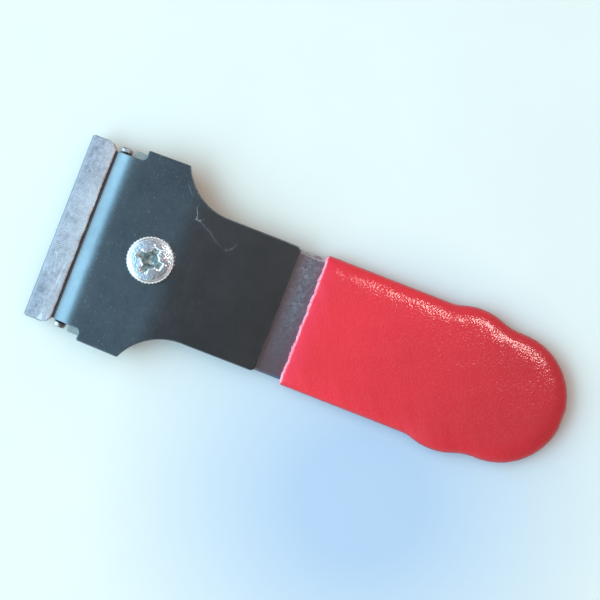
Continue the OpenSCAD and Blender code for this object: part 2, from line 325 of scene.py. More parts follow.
def handle_steel():
    """Bare rolled steel: dark bluish grey in a fine pale speckle, brown in soft patches. Painted brown shade
    lies along the heel of the clamp plate and on the near side, and a painted red reflection by the mouth of
    the vinyl. Its edges and tabs are rubbed pale, and its near edge is painted dark blue as a reflection."""
    material, tree, shader, place = new_finish("handle_steel", Metallic=1.0)
    along, across, level = axes(tree, place)
    speck = ramp(tree, noise(tree, place, 0.0005, 4.0, 0.75), 0.34, 0.66)
    pale = times(tree, ramp(tree, noise(tree, place, 0.0008, 5.0, 0.8), 0.49, 0.62),
                 ramp(tree, across, -0.006, 0.009, 0.2, 0.68))
    # Painted shade: brown along the heel of the clamp plate and on the near side of the band
    painted_shade = maths(tree, "MAXIMUM", ramp(tree, along, FRONT + 0.0470, FRONT + 0.0492, 0.8, 0),
                  ramp(tree, across, -0.010, 0.001, 0.75, 0))
    # Real brown patches in soft clouds, joined with the painted shade
    stain_and_shade = maths(tree, "MAXIMUM", painted_shade, ramp(tree, noise(tree, place, 0.009, 2.0), 0.45, 0.7, 0, 0.4))
    # Painted red reflection of the vinyl on the steel just before its mouth
    red_reflection = ramp(tree, along, FRONT + 0.0500, FRONT + 0.0516, 0, 0.6)
    # Painted reflection: the near edge of the plate painted dark blue
    blue_reflection = times(tree, ramp(tree, across, -0.0120, -0.0115, 1, 0), ramp(tree, level, 0.0028, 0.0030, 1, 0))
    rubbed = place_group(tree, RUBBED, place, Size=0.0015, Amount=0.8)
    colour = tint(tree, speck, (0.115, 0.11, 0.135), (0.25, 0.235, 0.285))
    colour = tint(tree, pale, colour, (0.42, 0.45, 0.53))
    colour = tint(tree, stain_and_shade, colour, (0.19, 0.13, 0.14))
    colour = tint(tree, red_reflection, colour, (0.26, 0.11, 0.16))
    edges = tint(tree, blue_reflection, (0.66, 0.67, 0.70), (0.09, 0.17, 0.27))
    colour = tint(tree, rubbed, colour, edges)
    dull = maths(tree, "MULTIPLY_ADD", rubbed, 0.15, ramp(tree, speck, 0, 1, 0.42, 0.3))
    finish_with(tree, shader, colour, dull, speck, 0.00002, 0.6)
    return material


plate_corners = rounded(
    [(SEAT_FRONT, 0), (SEAT_FRONT, SEAT_SIDE), (SEAT_BACK, SEAT_SIDE), (SEAT_BACK, PLATE_SIDE),
     (PLATE_SIDE_END, PLATE_SIDE), PLATE_HOLLOW_LEAD],
    [PLATE_CORNER_R, SEAT_CORNER_R, PLATE_CORNER_R, PLATE_CORNER_R])
plate_outline = both_sides(np.concatenate([
    *plate_corners,
    arc(HOLLOW_X, HOLLOW_Y, PLATE_HOLLOW_R, 214, 270, 24),
    np.linspace((32, TANG_SIDE), (77, TANG_SIDE), 46),
    *(arc(x, y, radius, start, end, 14) for x, y, radius, start, end, _ in TANG_ARCS)]))
plate_x, plate_y = plate_outline.T
hole_turn = np.interp(plate_x, [RING_X, SPINE_X], [1, 0]) * np.arctan2(plate_y, plate_x - SCREW[0])
hole_ring = SCREW + NUT_BODY_R * np.column_stack([np.cos(hole_turn), np.sin(hole_turn)])
spine_x = np.interp(plate_x, [SPINE_X, END_X + END_R], [SCREW[0] + NUT_BODY_R, END_X])
in_tang = plate_x > SPINE_X
plate_inner = np.where(in_tang[:, None], np.column_stack([spine_x, 0 * spine_x]), hole_ring)
plate_shell = sheet(plate_outline, plate_inner, rim(PLATE_T, PLATE_EDGE_R, PLATE_EDGE_R), 14, in_tang)
plate_shell[..., 2] += PLATE_Z
handle_plate = lay_piece("steel_handle_plate", handle_steel(), plate_shell, turned_tab(1), turned_tab(-1))
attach(handle_plate, "handle")
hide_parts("handle_plate")


# Clinch nut: a turned and zinc-plated steel collar, pressed into the hole of the plate from below. Its
# thread takes the screw, and its flange is as deep as the vinyl, so that the tool lies level.
FLANGE_R = 4.7
BORE_R = 2.45
# Radius and height, out along the foot of the flange, up the body and back down the bore
NUT_PROFILE = ((2.75, 0), (2.85, 0.02), (4.3, 0.02), (4.5, 0.06), (4.65, 0.2), (FLANGE_R, 0.4),
               (FLANGE_R, 0.85), (4.62, 0.98), (3.5, 1.0), (NUT_BODY_R, 1.05), (NUT_BODY_R, 2.7),
               (3.22, 2.79), (2.6, 2.79), (BORE_R, 2.65), (BORE_R, 0.35), (2.75, 0))


def spun(profile, count):
    """Profile of (radius, height) spun round the screw's axis, closed where its last point is its first."""
    radius, z = np.array(profile).T[:, :, None]
    turn = np.linspace(0, 2 * np.pi, count, endpoint=False)
    x, y = SCREW[0] + radius * np.cos(turn), radius * np.sin(turn)
    return np.stack([x, y, np.broadcast_to(z, x.shape), np.zeros(x.shape)], axis=2)


def vectors(tree, operation, *values):
    """Result of one Vector Math node: a number where the operation gives one, and otherwise a vector."""
    made = add_node(tree, "ShaderNodeVectorMath", dict(enumerate(values)), operation=operation)
    return made.outputs["Value" if operation in ("LENGTH", "DISTANCE", "DOT_PRODUCT") else "Vector"]


def lathe_marks(tree, place, ring):
    """Distance from the screw's axis in metres, and the rings that the tool leaves about it, from 0 to 1."""
    axis = (-FRONT - SCREW[0] * MM, 0, 0)
    centred = add_node(tree, "ShaderNodeMapping", {"Vector": place, "Location": axis}).outputs[0]
    reach = vectors(tree, "LENGTH", vectors(tree, "MULTIPLY", centred, (1, 1, 0)))
    phase = maths(tree, "MULTIPLY", reach, 2 * np.pi / ring, clamp=False)
    return reach, ramp(tree, maths(tree, "SINE", phase, clamp=False), -1, 1)


def nut_zinc():
    """Zinc over turned steel: fine rings of the tool, and soft clouds that yellow a little."""
    material, tree, shader, place = new_finish("nut_zinc", Metallic=1.0)
    _, rings = lathe_marks(tree, place, 0.00016)
    cloud = ramp(tree, noise(tree, place, 0.0011), 0.3, 0.7)
    colour = tint(tree, cloud, (0.60, 0.60, 0.57), (0.66, 0.64, 0.58))
    finish_with(tree, shader, colour, ramp(tree, cloud, 0, 1, 0.3, 0.4), rings, 0.00001, 0.7)
    return material


clinch_nut = lay_piece("pressed_nut", nut_zinc(), spun(NUT_PROFILE, 96))
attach(clinch_nut, "handle")
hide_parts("clinch_nut")


# Vinyl grip: the tang is dipped hot in red vinyl, which sets as a soft sleeve. It is thick and pillowy over
# the edges, thins out at the mouth, lies flat on its sole and has the fine pebbled skin of a dipped coat.
MOUTH_X = 51.65
MOUTH_R = 0.7
GRIP_SIDE_T = 0.9
GRIP_FACE_T = 1.0
SOLE_PRESS = 0.1
PILLOW_W = 5.0
PILLOW_POWER = 2.5
# How far the skin thins at its mouth, how ragged its cut is and how high its slow waves are
MOUTH_THINNING = 0.16
RAGGED = 0.075
SKIN_WAVE = 0.012


def vinyl_rings():
    """Rings of the sleeve from the middle of its sole to the middle of its top. Each is the tang's outline,
    grown by a superellipse of the climb, so that the edge is a pillow; at the sole and the top the outline
    draws in to the spine. Height thins towards the mouth, and slow waves as of a poured skin shift the mouth
    and the top."""
    climb = np.linspace(-np.pi / 2, np.pi / 2, 57)
    rise, reach = (np.sign(v) * np.abs(v) ** (2 / PILLOW_POWER) for v in (np.sin(climb), np.cos(climb)))
    half_t = PLATE_T / 2 + GRIP_FACE_T
    rise = rise * np.where(climb < 0, half_t + SOLE_PRESS, half_t)
    grow = GRIP_SIDE_T - PILLOW_W * (1 - reach)
    over = np.clip((np.abs(rise) - PLATE_T / 2) / GRIP_FACE_T, 0, 1)
    mouth = MOUTH_X + MOUTH_R * (1 - np.sqrt(1 - over ** 2))
    quarter = np.radians(np.linspace(180, 92, 8))
    side_y = TANG_SIDE + grow
    front_y = np.linspace(0.02, 1, 44)[:-1] * (side_y - MOUTH_R)[:, None]
    turn_x = (mouth + MOUTH_R)[:, None] + MOUTH_R * np.cos(quarter)
    turn_y = (side_y - MOUTH_R)[:, None] + MOUTH_R * np.sin(quarter)
    run_x = np.linspace(0.06, 0.96, 34) * (LOBE_X - MOUTH_X) + MOUTH_X
    run_x, run_y = np.broadcast_arrays(run_x, side_y[:, None])
    xs = [np.broadcast_to(mouth[:, None], front_y.shape), turn_x, run_x]
    ys = [front_y, turn_y, run_y]
    for cx, cy, radius, start, end, grows in TANG_ARCS:
        angle = np.radians(np.linspace(start, end, 15)[:-1])
        size = (radius + grows * grow)[:, None]
        xs.append(cx + size * np.cos(angle))
        ys.append(cy + size * np.sin(angle))
    x, y = np.concatenate(xs, axis=1), np.concatenate(ys, axis=1)
    x, y = np.concatenate([x, x[:, ::-1]], axis=1), np.concatenate([y, -y[:, ::-1]], axis=1)
    z = np.broadcast_to(rise[:, None], x.shape)
    draw = np.linspace(0, 1, 9)[:-1, None]
    middle_x = np.clip(x, MOUTH_X + 6, END_X)

    def fill(row):
        """Rings from the spine out to a row of the sleeve."""
        out_x = middle_x[row] + draw * (x[row] - middle_x[row])
        return np.stack([out_x, draw * y[row], np.broadcast_to(z[row], out_x.shape)], axis=2)

    edge = np.stack([x, y, z], axis=2)
    points = np.concatenate([fill(0), edge, fill(-1)[::-1]])
    x, y, z = np.moveaxis(points, 2, 0)
    behind = np.clip(x - MOUTH_X, 0, None)
    thin = 1 - MOUTH_THINNING * np.exp(-behind / 1.7)
    wave = np.sin(0.9 * x + 0.5 * y) + np.sin(0.55 * x - 1.1 * y + 1) + np.sin(1.7 * x + 1.3 * y + 2)
    ragged = np.sin(1.3 * y + 0.4) + 0.7 * np.sin(3.1 * y + 2 + z)
    ragged = ragged + 0.6 * np.sin(5.7 * y + 1) + 0.5 * np.sin(9 * y)
    x = x + RAGGED * ragged * np.exp(-behind / 0.9)
    z = PLATE_Z + PLATE_T / 2 + z * thin + SKIN_WAVE * wave * np.clip(z, 0, 1)
    return np.stack([x, y, np.clip(z, 0, None), np.exp(-behind / 0.8)], axis=2)


def red_vinyl():
    """Dipped vinyl: bright where it is thin by the mouth and deeper towards the thick end, with painted
    shade down its sides and a painted highlight, a pale broken line, at the cut of the mouth. Small round
    cells on a finer noise pebble it, each painted a little paler on its top as a sheen, and the noise breaks
    up its gloss."""
    material, tree, shader, place = new_finish("red_vinyl", IOR=1.5)
    along, _, level = axes(tree, place)
    cloud = noise(tree, place, 0.012)
    rearward = ramp(tree, along, FRONT + 0.062, FRONT + 0.110, -0.22, 0.78)
    depth = maths(tree, "MULTIPLY_ADD", cloud, 0.45, rearward)
    cell = add_node(tree, "ShaderNodeTexVoronoi", {"Vector": place, "Scale": 2300.0, "Smoothness": 0.5},
                    feature="SMOOTH_F1").outputs["Distance"]
    fine = noise(tree, place, 0.00028, 3.0, 0.6)
    pebble = ramp(tree, cell, 0, 0.7, 1, 0)
    pebble = maths(tree, "MULTIPLY_ADD", pebble, 0.85, times(tree, fine, 0.15))
    # Painted highlight: a pale broken line along the cut of the mouth
    mouth = times(tree, ramp(tree, edge_value(tree), 0.48, 0.7),
                  ramp(tree, noise(tree, place, 0.0007), 0.3, 0.6, 0.4, 1))
    thin = ramp(tree, along, FRONT + 0.0522, FRONT + 0.0560, 0.8, 0)
    # Painted sheen: the top of each pebble painted a little paler
    sheen_tops = times(tree, ramp(tree, pebble, 0.45, 0.8), 0.16)
    # Painted shade: darker down the sides of the sleeve
    sides = ramp(tree, level, 0.0019, 0.0032, 0.85, 0)
    colour = tint(tree, depth, (0.92, 0.035, 0.053), (0.55, 0.026, 0.037))
    colour = tint(tree, thin, colour, (0.97, 0.034, 0.080))
    colour = tint(tree, sheen_tops, colour, (0.90, 0.10, 0.12))
    colour = tint(tree, sides, colour, (0.30, 0.014, 0.028))
    colour = tint(tree, mouth, colour, (1.0, 0.40, 0.50))
    finish_with(tree, shader, colour, ramp(tree, fine, 0.3, 0.7, 0.13, 0.22), pebble, 0.000034)
    return material


vinyl_grip = lay_piece("dipped_vinyl_grip", red_vinyl(), vinyl_rings())
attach(vinyl_grip, "handle")
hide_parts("vinyl_grip")


# Razor blade: hardened steel strip a quarter of a millimetre thick, ground to an edge from both faces and
# notched at each end. It drops over the two tabs, here with its edge covered, and the clamp plate holds it.
def drawn_noise(tree, place, sizes, detail):
    """Noise drawn out to streaks: each coordinate is divided by a size of its own, in metres."""
    size = add_node(tree, "ShaderNodeCombineXYZ", dict(enumerate(sizes))).outputs[0]
    inputs = {"Vector": vectors(tree, "DIVIDE", place, size), "Scale": 1.0, "Detail": detail}
    return add_node(tree, "ShaderNodeTexNoise", inputs).outputs["Fac"]


def grain_group():
    """Rolled grain: noise drawn out along the strip, from its own length and width of a streak."""
    tree, given, result = shader_group("rolled_grain", "Grain", Length=0.002, Width=0.0002)
    sizes = given["Width"], given["Length"], given["Width"]
    streak = drawn_noise(tree, given["Place"], sizes, 3.0)
    tree.links.new(ramp(tree, streak, 0.3, 0.7), result)
    return tree


def scratch_group():
    """Fine scratches: thin lines where a drawn-out noise crosses its middle value, in broken lengths."""
    tree, given, result = shader_group("fine_scratches", "Scratch", Length=0.02, Width=0.001, Lean=0.4)
    turned = add_node(tree, "ShaderNodeVectorRotate", {"Vector": given["Place"], "Angle": given["Lean"]},
                      rotation_type="Z_AXIS").outputs[0]
    sizes = given["Length"], given["Width"], given["Width"]
    line = maths(tree, "COMPARE", drawn_noise(tree, turned, sizes, 1.0), 0.5, 0.012)
    broken = add_node(tree, "ShaderNodeTexNoise", {"Vector": given["Place"], "Scale": 260.0, "Detail": 2.0})
    lengths = ramp(tree, broken.outputs["Fac"], 0.5, 0.62)
    tree.links.new(times(tree, line, lengths), result)
    return tree


GRAIN, SCRATCHES = grain_group(), scratch_group()


def blade_steel():
    """Polished hardened strip: pale grey with fine lengthwise grain and a few scratches. Painted shade makes
    it dark in the narrow gap between the folded back and the lip of the clamp plate."""
    material, tree, shader, place = new_finish("blade_steel", Metallic=1.0)
    along = axes(tree, place)[0]
    # Painted shade in the narrow gap between the folded back and the lip
    painted_shade = times(tree, ramp(tree, along, FRONT + 0.0049, FRONT + 0.0052),
                  ramp(tree, along, FRONT + 0.0061, FRONT + 0.0066, 1, 0))
    grain = place_group(tree, GRAIN, place, Length=0.006, Width=0.00012)
    haze = ramp(tree, noise(tree, place, 0.004), 0.35, 0.65)
    scratch = place_group(tree, SCRATCHES, place, Length=0.015, Width=0.0005, Lean=1.2)
    colour = tint(tree, grain, (0.50, 0.55, 0.55), (0.68, 0.72, 0.72))
    colour = tint(tree, times(tree, haze, 0.3), colour, (0.46, 0.50, 0.48))
    colour = tint(tree, scratch, colour, (0.85, 0.87, 0.88))
    colour = tint(tree, painted_shade, colour, (0.16, 0.12, 0.125))
    finish_with(tree, shader, colour, ramp(tree, haze, 0, 1, 0.2, 0.32), grain, 0.000004, 0.5)
    return material


razor_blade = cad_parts["razor_blade"]
razor_blade.data.materials.clear()
razor_blade.data.materials.append(blade_steel())


# Folded back: a strip of bright rolled steel bent double and pressed over the blunt side of the blade. Its
# free edges have rounded corners, and its face shows the marks of the press and of use.
BACK_W = 5.4
BACK_HALF = 18.85
BACK_CORNER_R = 1.6
BACK_Z = 2.925
BACK_T = 0.4
FOLD_R = 0.525
SLOT_R = 0.125
# Bends of the one long drag mark on its face
DRAG_MARK = ((4.2, -6.6), (3.9, -10.8), (3.3, -13.4))


def folded_strip():
    """Closed hairpin section carried across the tool. A row is the outer leg, the fold and the other outer
    leg, then the same way back inside the slot. The legs shorten near the ends by the corner's circle, and
    at the two ends the section draws in to the strip's own middle line."""
    ease = np.sin(np.linspace(-np.pi / 2, np.pi / 2, 141)) * BACK_HALF
    y = np.concatenate([[-BACK_HALF, -BACK_HALF], ease[1:-1], [BACK_HALF, BACK_HALF]])
    bevel = np.concatenate([[0, 0.75], np.ones(139), [0.75, 0]])
    in_corner = np.clip(np.abs(y) - (BACK_HALF - BACK_CORNER_R), 0, BACK_CORNER_R)
    reach = BACK_W - BACK_CORNER_R + np.sqrt(BACK_CORNER_R ** 2 - in_corner ** 2)
    leg = np.linspace(1, 0, 15)[1:]
    lip = np.linspace(np.pi / 2, 0, 5)
    bend = np.linspace(-np.pi / 2, np.pi / 2, 19)[1:-1]
    half_t = BACK_T / 2
    middle = (FOLD_R + SLOT_R) / 2
    # Half of the loop outside the strip's middle line, as a share along the leg, an added x and a height
    rear = np.column_stack([np.ones(5), half_t * np.cos(lip) - half_t, middle + half_t * np.sin(lip)])
    out_leg = np.column_stack([leg, -half_t * leg, np.full(14, FOLD_R)])
    fold = np.column_stack([np.zeros(17), -FOLD_R * np.cos(bend), -FOLD_R * np.sin(bend)])
    upper = np.concatenate([rear[::-1], out_leg])
    outside = np.concatenate([upper, fold, upper[::-1] * [1, 1, -1]])
    in_rear = rear.copy()
    in_rear[:, 2] = 2 * middle - rear[:, 2]
    in_leg = out_leg.copy()
    in_leg[:, 2] = SLOT_R
    in_fold = fold * [1, 0, SLOT_R / FOLD_R]
    in_fold[:, 1] = BACK_T - FOLD_R
    in_upper = np.concatenate([in_rear[::-1], in_leg])
    inside = np.concatenate([in_upper, in_fold, in_upper[::-1] * [1, 1, -1]])
    loop = np.concatenate([outside, inside[::-1]])
    centre = (loop + loop[::-1]) / 2
    section = centre + bevel[:, None, None] * (loop - centre)
    x = FOLD_R + section[..., 0] * (reach[:, None] - FOLD_R) + section[..., 1]
    press = 0.012 * np.sin(0.8 * y + 1) + 0.008 * np.sin(2.3 * y)
    z = BACK_Z + section[..., 2] + press[:, None] * section[..., 0] * np.sign(section[..., 2])
    worn = np.clip((section[..., 0] - 0.94) / 0.06, 0, 1)
    return np.stack([x, np.broadcast_to(y[:, None], x.shape), z, worn], axis=2)


def line_distance(tree, place, bends):
    """Distances from the straight strokes between the bends of a flat line, one for each stroke, in metres:
    the place less its nearest point on the stroke."""
    bends = [np.array([FRONT + x * MM, y * MM, 0]) for x, y in bends]
    strokes = []
    for start, end in zip(bends, bends[1:]):
        span = end - start
        offset = vectors(tree, "SUBTRACT", place, start)
        share = maths(tree, "ADD", vectors(tree, "DOT_PRODUCT", offset, span / (span @ span)), 0.0)
        strokes.append(vectors(tree, "DISTANCE", offset, vectors(tree, "MULTIPLY", span, share)))
    return strokes


def back_steel():
    """Bright rolled strip: blue-grey in mottled scales over soft clouds, browner to the rear, dull on the
    fold and dark brown along its free edges. Fine slanting ripples of the press show in the middle, with
    pale painted highlights along their ridges, pale streaks at the near end, and one drag mark among a few
    bright scratches."""
    material, tree, shader, place = new_finish("back_steel", Metallic=1.0)
    along, across, _ = axes(tree, place)
    rearward = ramp(tree, along, FRONT + 0.0020, FRONT + 0.0052, 0, 0.58)
    fold = ramp(tree, along, FRONT + 0.0003, FRONT + 0.0008, 0.85, 0)
    cloud = ramp(tree, noise(tree, place, 0.0021, 5.0, 0.75), 0.36, 0.64)
    scale = ramp(tree, noise(tree, place, 0.00065, 5.0, 0.75), 0.36, 0.64)
    mottle = maths(tree, "MULTIPLY_ADD", scale, 0.6, times(tree, cloud, 0.4))
    grain = place_group(tree, GRAIN, place, Length=0.005, Width=0.00016)
    slanted = add_node(tree, "ShaderNodeVectorRotate", {"Vector": place, "Angle": -0.72},
                       rotation_type="Z_AXIS").outputs[0]
    waves = {"Vector": slanted, "Scale": 820.0, "Distortion": 6.0, "Detail": 2.0, "Detail Scale": 0.5}
    ripple = add_node(tree, "ShaderNodeTexWave", waves, bands_direction="Y").outputs["Fac"]
    middle = vectors(tree, "DISTANCE", place, (FRONT + 0.003, 0.0015, 0.0034))
    pressed = times(tree, ramp(tree, middle, 0.005, 0.011, 1, 0),
                    ramp(tree, noise(tree, place, 0.004, 2.0), 0.36, 0.56))
    streak = ramp(tree, place_group(tree, GRAIN, place, Length=0.004, Width=0.0004), 0.62, 0.85)
    streak = times(tree, streak, ramp(tree, across, -0.0165, -0.0135, 0.9, 0))
    flat = vectors(tree, "MULTIPLY", place, (1, 1, 0))
    drag = maths(tree, "MINIMUM", *line_distance(tree, flat, DRAG_MARK))
    drag = times(tree, ramp(tree, drag, 0.00005, 0.00022, 0.9, 0),
                 ramp(tree, noise(tree, place, 0.0011), 0.35, 0.6, 0.3, 1))
    scratch = place_group(tree, SCRATCHES, place, Length=0.009, Width=0.0006, Lean=1.35)
    scratch = maths(tree, "MAXIMUM", maths(tree, "MAXIMUM", scratch, drag), streak)
    # Dark brown along the free edges
    brown_edge = place_group(tree, RUBBED, place, Size=0.0014, Amount=0.9)
    brown = times(tree, rearward, ramp(tree, cloud, 0, 1, 0.6, 1))
    # Painted highlight: the ridges of the press ripples painted pale
    ridge_highlight = times(tree, pressed, ramp(tree, ripple, 0.3, 0.8, 0, 0.6))
    colour = tint(tree, mottle, (0.19, 0.205, 0.27), (0.76, 0.77, 0.87))
    colour = tint(tree, times(tree, grain, 0.2), colour, (0.52, 0.54, 0.60))
    colour = tint(tree, brown, colour, (0.80, 0.70, 0.69))
    colour = tint(tree, ridge_highlight, colour, (0.90, 0.92, 0.98))
    colour = tint(tree, scratch, colour, (0.88, 0.92, 0.98))
    colour = tint(tree, brown_edge, colour, (0.30, 0.18, 0.15))
    colour = tint(tree, fold, colour, (0.40, 0.41, 0.48))
    height = maths(tree, "MULTIPLY_ADD", ripple, times(tree, pressed, 0.4), times(tree, mottle, 0.6))
    dull = maths(tree, "MAXIMUM", ramp(tree, mottle, 0, 1, 0.48, 0.36), fold)
    finish_with(tree, shader, colour, dull, height, 0.00004, 0.7)
    return material


blade_back = lay_piece("folded_blade_back", back_steel(), folded_strip())
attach(blade_back, "handle")
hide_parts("blade_back")


# Clamp plate: a steel stamping in satin black oxide. Its lip is turned down on the blade between the tabs,
# its shoulders stand over the handle, and just behind the screw it is bent down to meet the handle plate.
CLAMP_T = 1.2
CLAMP_Z = 4.2716
CLAMP_LOW_EDGE_R = 0.12
CLAMP_TOP_EDGE_R = 0.2
CLAMP_CORNER_R = 0.4
CLAMP_HOLE_R = 2.7
CLAMP_HOLLOW_R = 11.8
CLAMP_HOLLOW_LEAD = (20.99, 18.66)
LIP_R = 5.02
LIP_BEND_X = 9.85
LIP_TIP = 5.518
LIP_SIDE = 17.65
SHOULDER_X = 11.65
SHOULDER_Y = 19.9
SHOULDER_END = (20.35, 20.1)
NECK_R = 1.0
HEEL_R = 60.0
HEEL_BEND_X = 22.3
HEEL_TURN = np.radians(3.64)
HEEL_TIP = 46.5975
HEEL_SIDE = HOLLOW_Y - CLAMP_HOLLOW_R
HEEL_CORNER_R = 1.2
# Bends of the hair scratch behind the screw, and a short side stroke
HAIR = ((21.3, 16.6), (24.6, 13.4), (25.0, 10.6), (28.4, 9.4), (31.0, 7.4), (32.7, 6.9), (34.5, 8.8))
HAIR_STROKE = ((24.8, 10.3), (26.6, 11.0))


def bent(shell):
    """Flat sheet laid to the plate's side view. A place along it becomes an angle round the lip's circle in
    front of the lip's bend, and behind the screw an angle round the heel's large circle, then a straight
    run; a height stays square to the sheet. Lengths are kept along the upper face."""
    along, y, height, edge = np.moveaxis(shell, 2, 0)
    lip = np.clip(LIP_BEND_X - along, 0, None) / (LIP_R + CLAMP_T)
    turned = np.clip(along - HEEL_BEND_X, 0, None) / (HEEL_R + CLAMP_T)
    heel = np.minimum(turned, HEEL_TURN)
    run = (turned - heel) * (HEEL_R + CLAMP_T)
    x = np.clip(along, LIP_BEND_X, HEEL_BEND_X) - (LIP_R + height) * np.sin(lip)
    x = x + (HEEL_R + height) * np.sin(heel) + run * np.cos(HEEL_TURN)
    z = CLAMP_Z + height - (LIP_R + height) * (1 - np.cos(lip))
    z = z - (HEEL_R + height) * (1 - np.cos(heel)) - run * np.sin(HEEL_TURN)
    return np.stack([x, y, z, edge], axis=2)


def black_oxide():
    """Satin black oxide: a dark blue-grey mirror in fine clouds, pale dust in the pores, one meandering and
    broken hair scratch behind the screw, edges rubbed to dull steel, and a duller lip."""
    material, tree, shader, place = new_finish("black_oxide")
    along = axes(tree, place)[0]
    cloud = ramp(tree, noise(tree, place, 0.007, 6.0, 0.72), 0.3, 0.7)
    fine = noise(tree, place, 0.00018, 3.0, 0.6)
    flat = vectors(tree, "MULTIPLY", place, (1, 1, 0))
    cell = add_node(tree, "ShaderNodeTexVoronoi", {"Vector": flat, "Scale": 1150.0}, feature="F1",
                    voronoi_dimensions="2D").outputs
    chance = add_node(tree, "ShaderNodeSeparateColor", {0: cell["Color"]}).outputs[0]
    speck = times(tree, ramp(tree, cell["Distance"], 0.06, 0.22, 1, 0), ramp(tree, chance, 0.6, 1),
                  ramp(tree, along, FRONT + 0.014, FRONT + 0.034, 0.32, 0.08),
                  ramp(tree, along, FRONT + 0.0080, FRONT + 0.0105, 0.35, 1))
    sway = add_node(tree, "ShaderNodeTexNoise", {"Vector": place, "Scale": 420.0, "Detail": 3.0})
    shift = vectors(tree, "SUBTRACT", sway.outputs["Color"], (0.5, 0.5, 0.5))
    swayed = vectors(tree, "MULTIPLY_ADD", shift, (0.0022, 0.0022, 0), flat)
    strokes = line_distance(tree, swayed, HAIR) + line_distance(tree, swayed, HAIR_STROKE)
    near = strokes[0]
    for stroke in strokes[1:]:
        near = maths(tree, "MINIMUM", near, stroke)
    broken = ramp(tree, noise(tree, place, 0.0017, 4.0, 0.7), 0.40, 0.64, 0.03, 0.36)
    # The second stroke of the hair is the clearest
    broken = maths(tree, "MULTIPLY_ADD", ramp(tree, strokes[1], 0.0003, 0.0012, 1.0, 0), broken, broken)
    scratch = times(tree, ramp(tree, near, 0.00004, 0.00015, 1, 0), broken)
    marks = maths(tree, "MAXIMUM", speck, scratch)
    rubbed = place_group(tree, RUBBED, place, Size=0.0012, Amount=0.2)
    colour = tint(tree, cloud, (0.132, 0.158, 0.184), (0.180, 0.214, 0.248))
    colour = tint(tree, rubbed, colour, (0.40, 0.41, 0.43))
    colour = tint(tree, marks, colour, (0.42, 0.52, 0.55))
    tree.links.new(maths(tree, "SUBTRACT", 1.0, marks), shader.inputs["Metallic"])
    dull = maths(tree, "MAXIMUM", ramp(tree, along, FRONT + 0.0092, FRONT + 0.0122, 0.11, 0),
                 ramp(tree, edge_value(tree), 0, 0.5, 0, 0.3))
    dull = maths(tree, "ADD", ramp(tree, fine, 0.3, 0.7, 0.155, 0.215), dull)
    uneven = noise(tree, place, 0.0016, 4.0, 0.65)
    uneven = maths(tree, "MULTIPLY_ADD", uneven, 0.8, times(tree, fine, 0.2))
    finish_with(tree, shader, colour, dull, uneven, 0.000035, 0.7)
    return material


lip_corner, *shoulder_corners = rounded(
    [(LIP_TIP, 0), (LIP_TIP, LIP_SIDE), (SHOULDER_X, LIP_SIDE), (SHOULDER_X, SHOULDER_Y), SHOULDER_END,
     CLAMP_HOLLOW_LEAD],
    [CLAMP_CORNER_R, NECK_R, CLAMP_CORNER_R, CLAMP_CORNER_R])
clamp_outline = both_sides(np.concatenate([
    np.linspace((LIP_TIP, 0.2), (LIP_TIP, 17.0), 40),
    lip_corner,
    np.linspace((LIP_TIP + 0.55, LIP_SIDE), (10.4, LIP_SIDE), 26),
    *shoulder_corners,
    arc(HOLLOW_X, HOLLOW_Y, CLAMP_HOLLOW_R, 207, 270, 30),
    np.linspace((31.9, HEEL_SIDE), (45, HEEL_SIDE), 30),
    corner((HOLLOW_X, HEEL_SIDE), (HEEL_TIP, HEEL_SIDE), (HEEL_TIP, 0), HEEL_CORNER_R),
    np.linspace((HEEL_TIP, 11.5), (HEEL_TIP, 0.3), 16)]))
clamp_ray = clamp_outline - SCREW
clamp_inner = SCREW + CLAMP_HOLE_R * clamp_ray / np.linalg.norm(clamp_ray, axis=1, keepdims=True)
clamp_rim = rim(CLAMP_T, CLAMP_LOW_EDGE_R, CLAMP_TOP_EDGE_R)
clamp_shell = bent(sheet(clamp_outline, clamp_inner, clamp_rim, 44))
clamp_plate = lay_piece("black_clamp_plate", black_oxide(), clamp_shell)
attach(clamp_plate, "clamp")
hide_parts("clamp_plate")


# Thumb screw: turned steel in bright zinc, with a straight-knurled head that fingers can grip, a smooth
# seat, a slightly domed face with a cross recess for a screwdriver, and a rolled thread.
HEAD_Z = 5.5216
HEAD_H = 4.2
HEAD_R = 4.8
KNURL_TEETH = 40
KNURL_DEPTH = 0.25
FACE_R = 3.88
DOME_R = 4.2
DOME_RISE = 0.3
THREAD_R = 2.4
THREAD_PITCH = 0.794
THREAD_DEPTH = 0.42
TIP_Z = 0.2
TIP_TAPER = 0.5
RECESS_TURN = np.radians(-12)
RECESS_ROLL = 0.34
RECESS_DEPTH = 2.4
# Reach and half width of the recess's arms and radius of its middle, at its mouth and its floor
RECESS_MOUTH = (2.45, 0.6, 1.6)
RECESS_FLOOR = (0.8, 0.5, 0.72)
# Under the head and up to the face: radius, height in the head, and how rubbed it is
HEAD_PROFILE = (
    (2.2, -0.25, 0), (2.25, 0, 0), (3.95, 0, 0), (4.06, 0.03, 1), (4.1, 0.1, 0), (4.1, 0.44, 0),
    (4.12, 0.5, 0), (4.42, 0.5, 0), (4.52, 0.52, 0.6), (HEAD_R, 0.8, 1), (HEAD_R, 1.2, 0.6),
    (HEAD_R, 1.8, 0.5), (HEAD_R, 2.4, 0.5), (HEAD_R, 3.0, 0.6), (HEAD_R, 3.25, 1), (4.74, 3.38, 1),
    (4.62, 3.52, 1), (4.42, 3.72, 0.8), (4.3, 3.83, 0.8), (4.22, 3.88, 1), (4.16, 3.88, 0.6), (4.1, 3.82, 0),
    (4.05, 3.79, 0), (4.0, 3.82, 0), (3.94, 3.9, 0.5), (FACE_R, 3.93, 0.6))


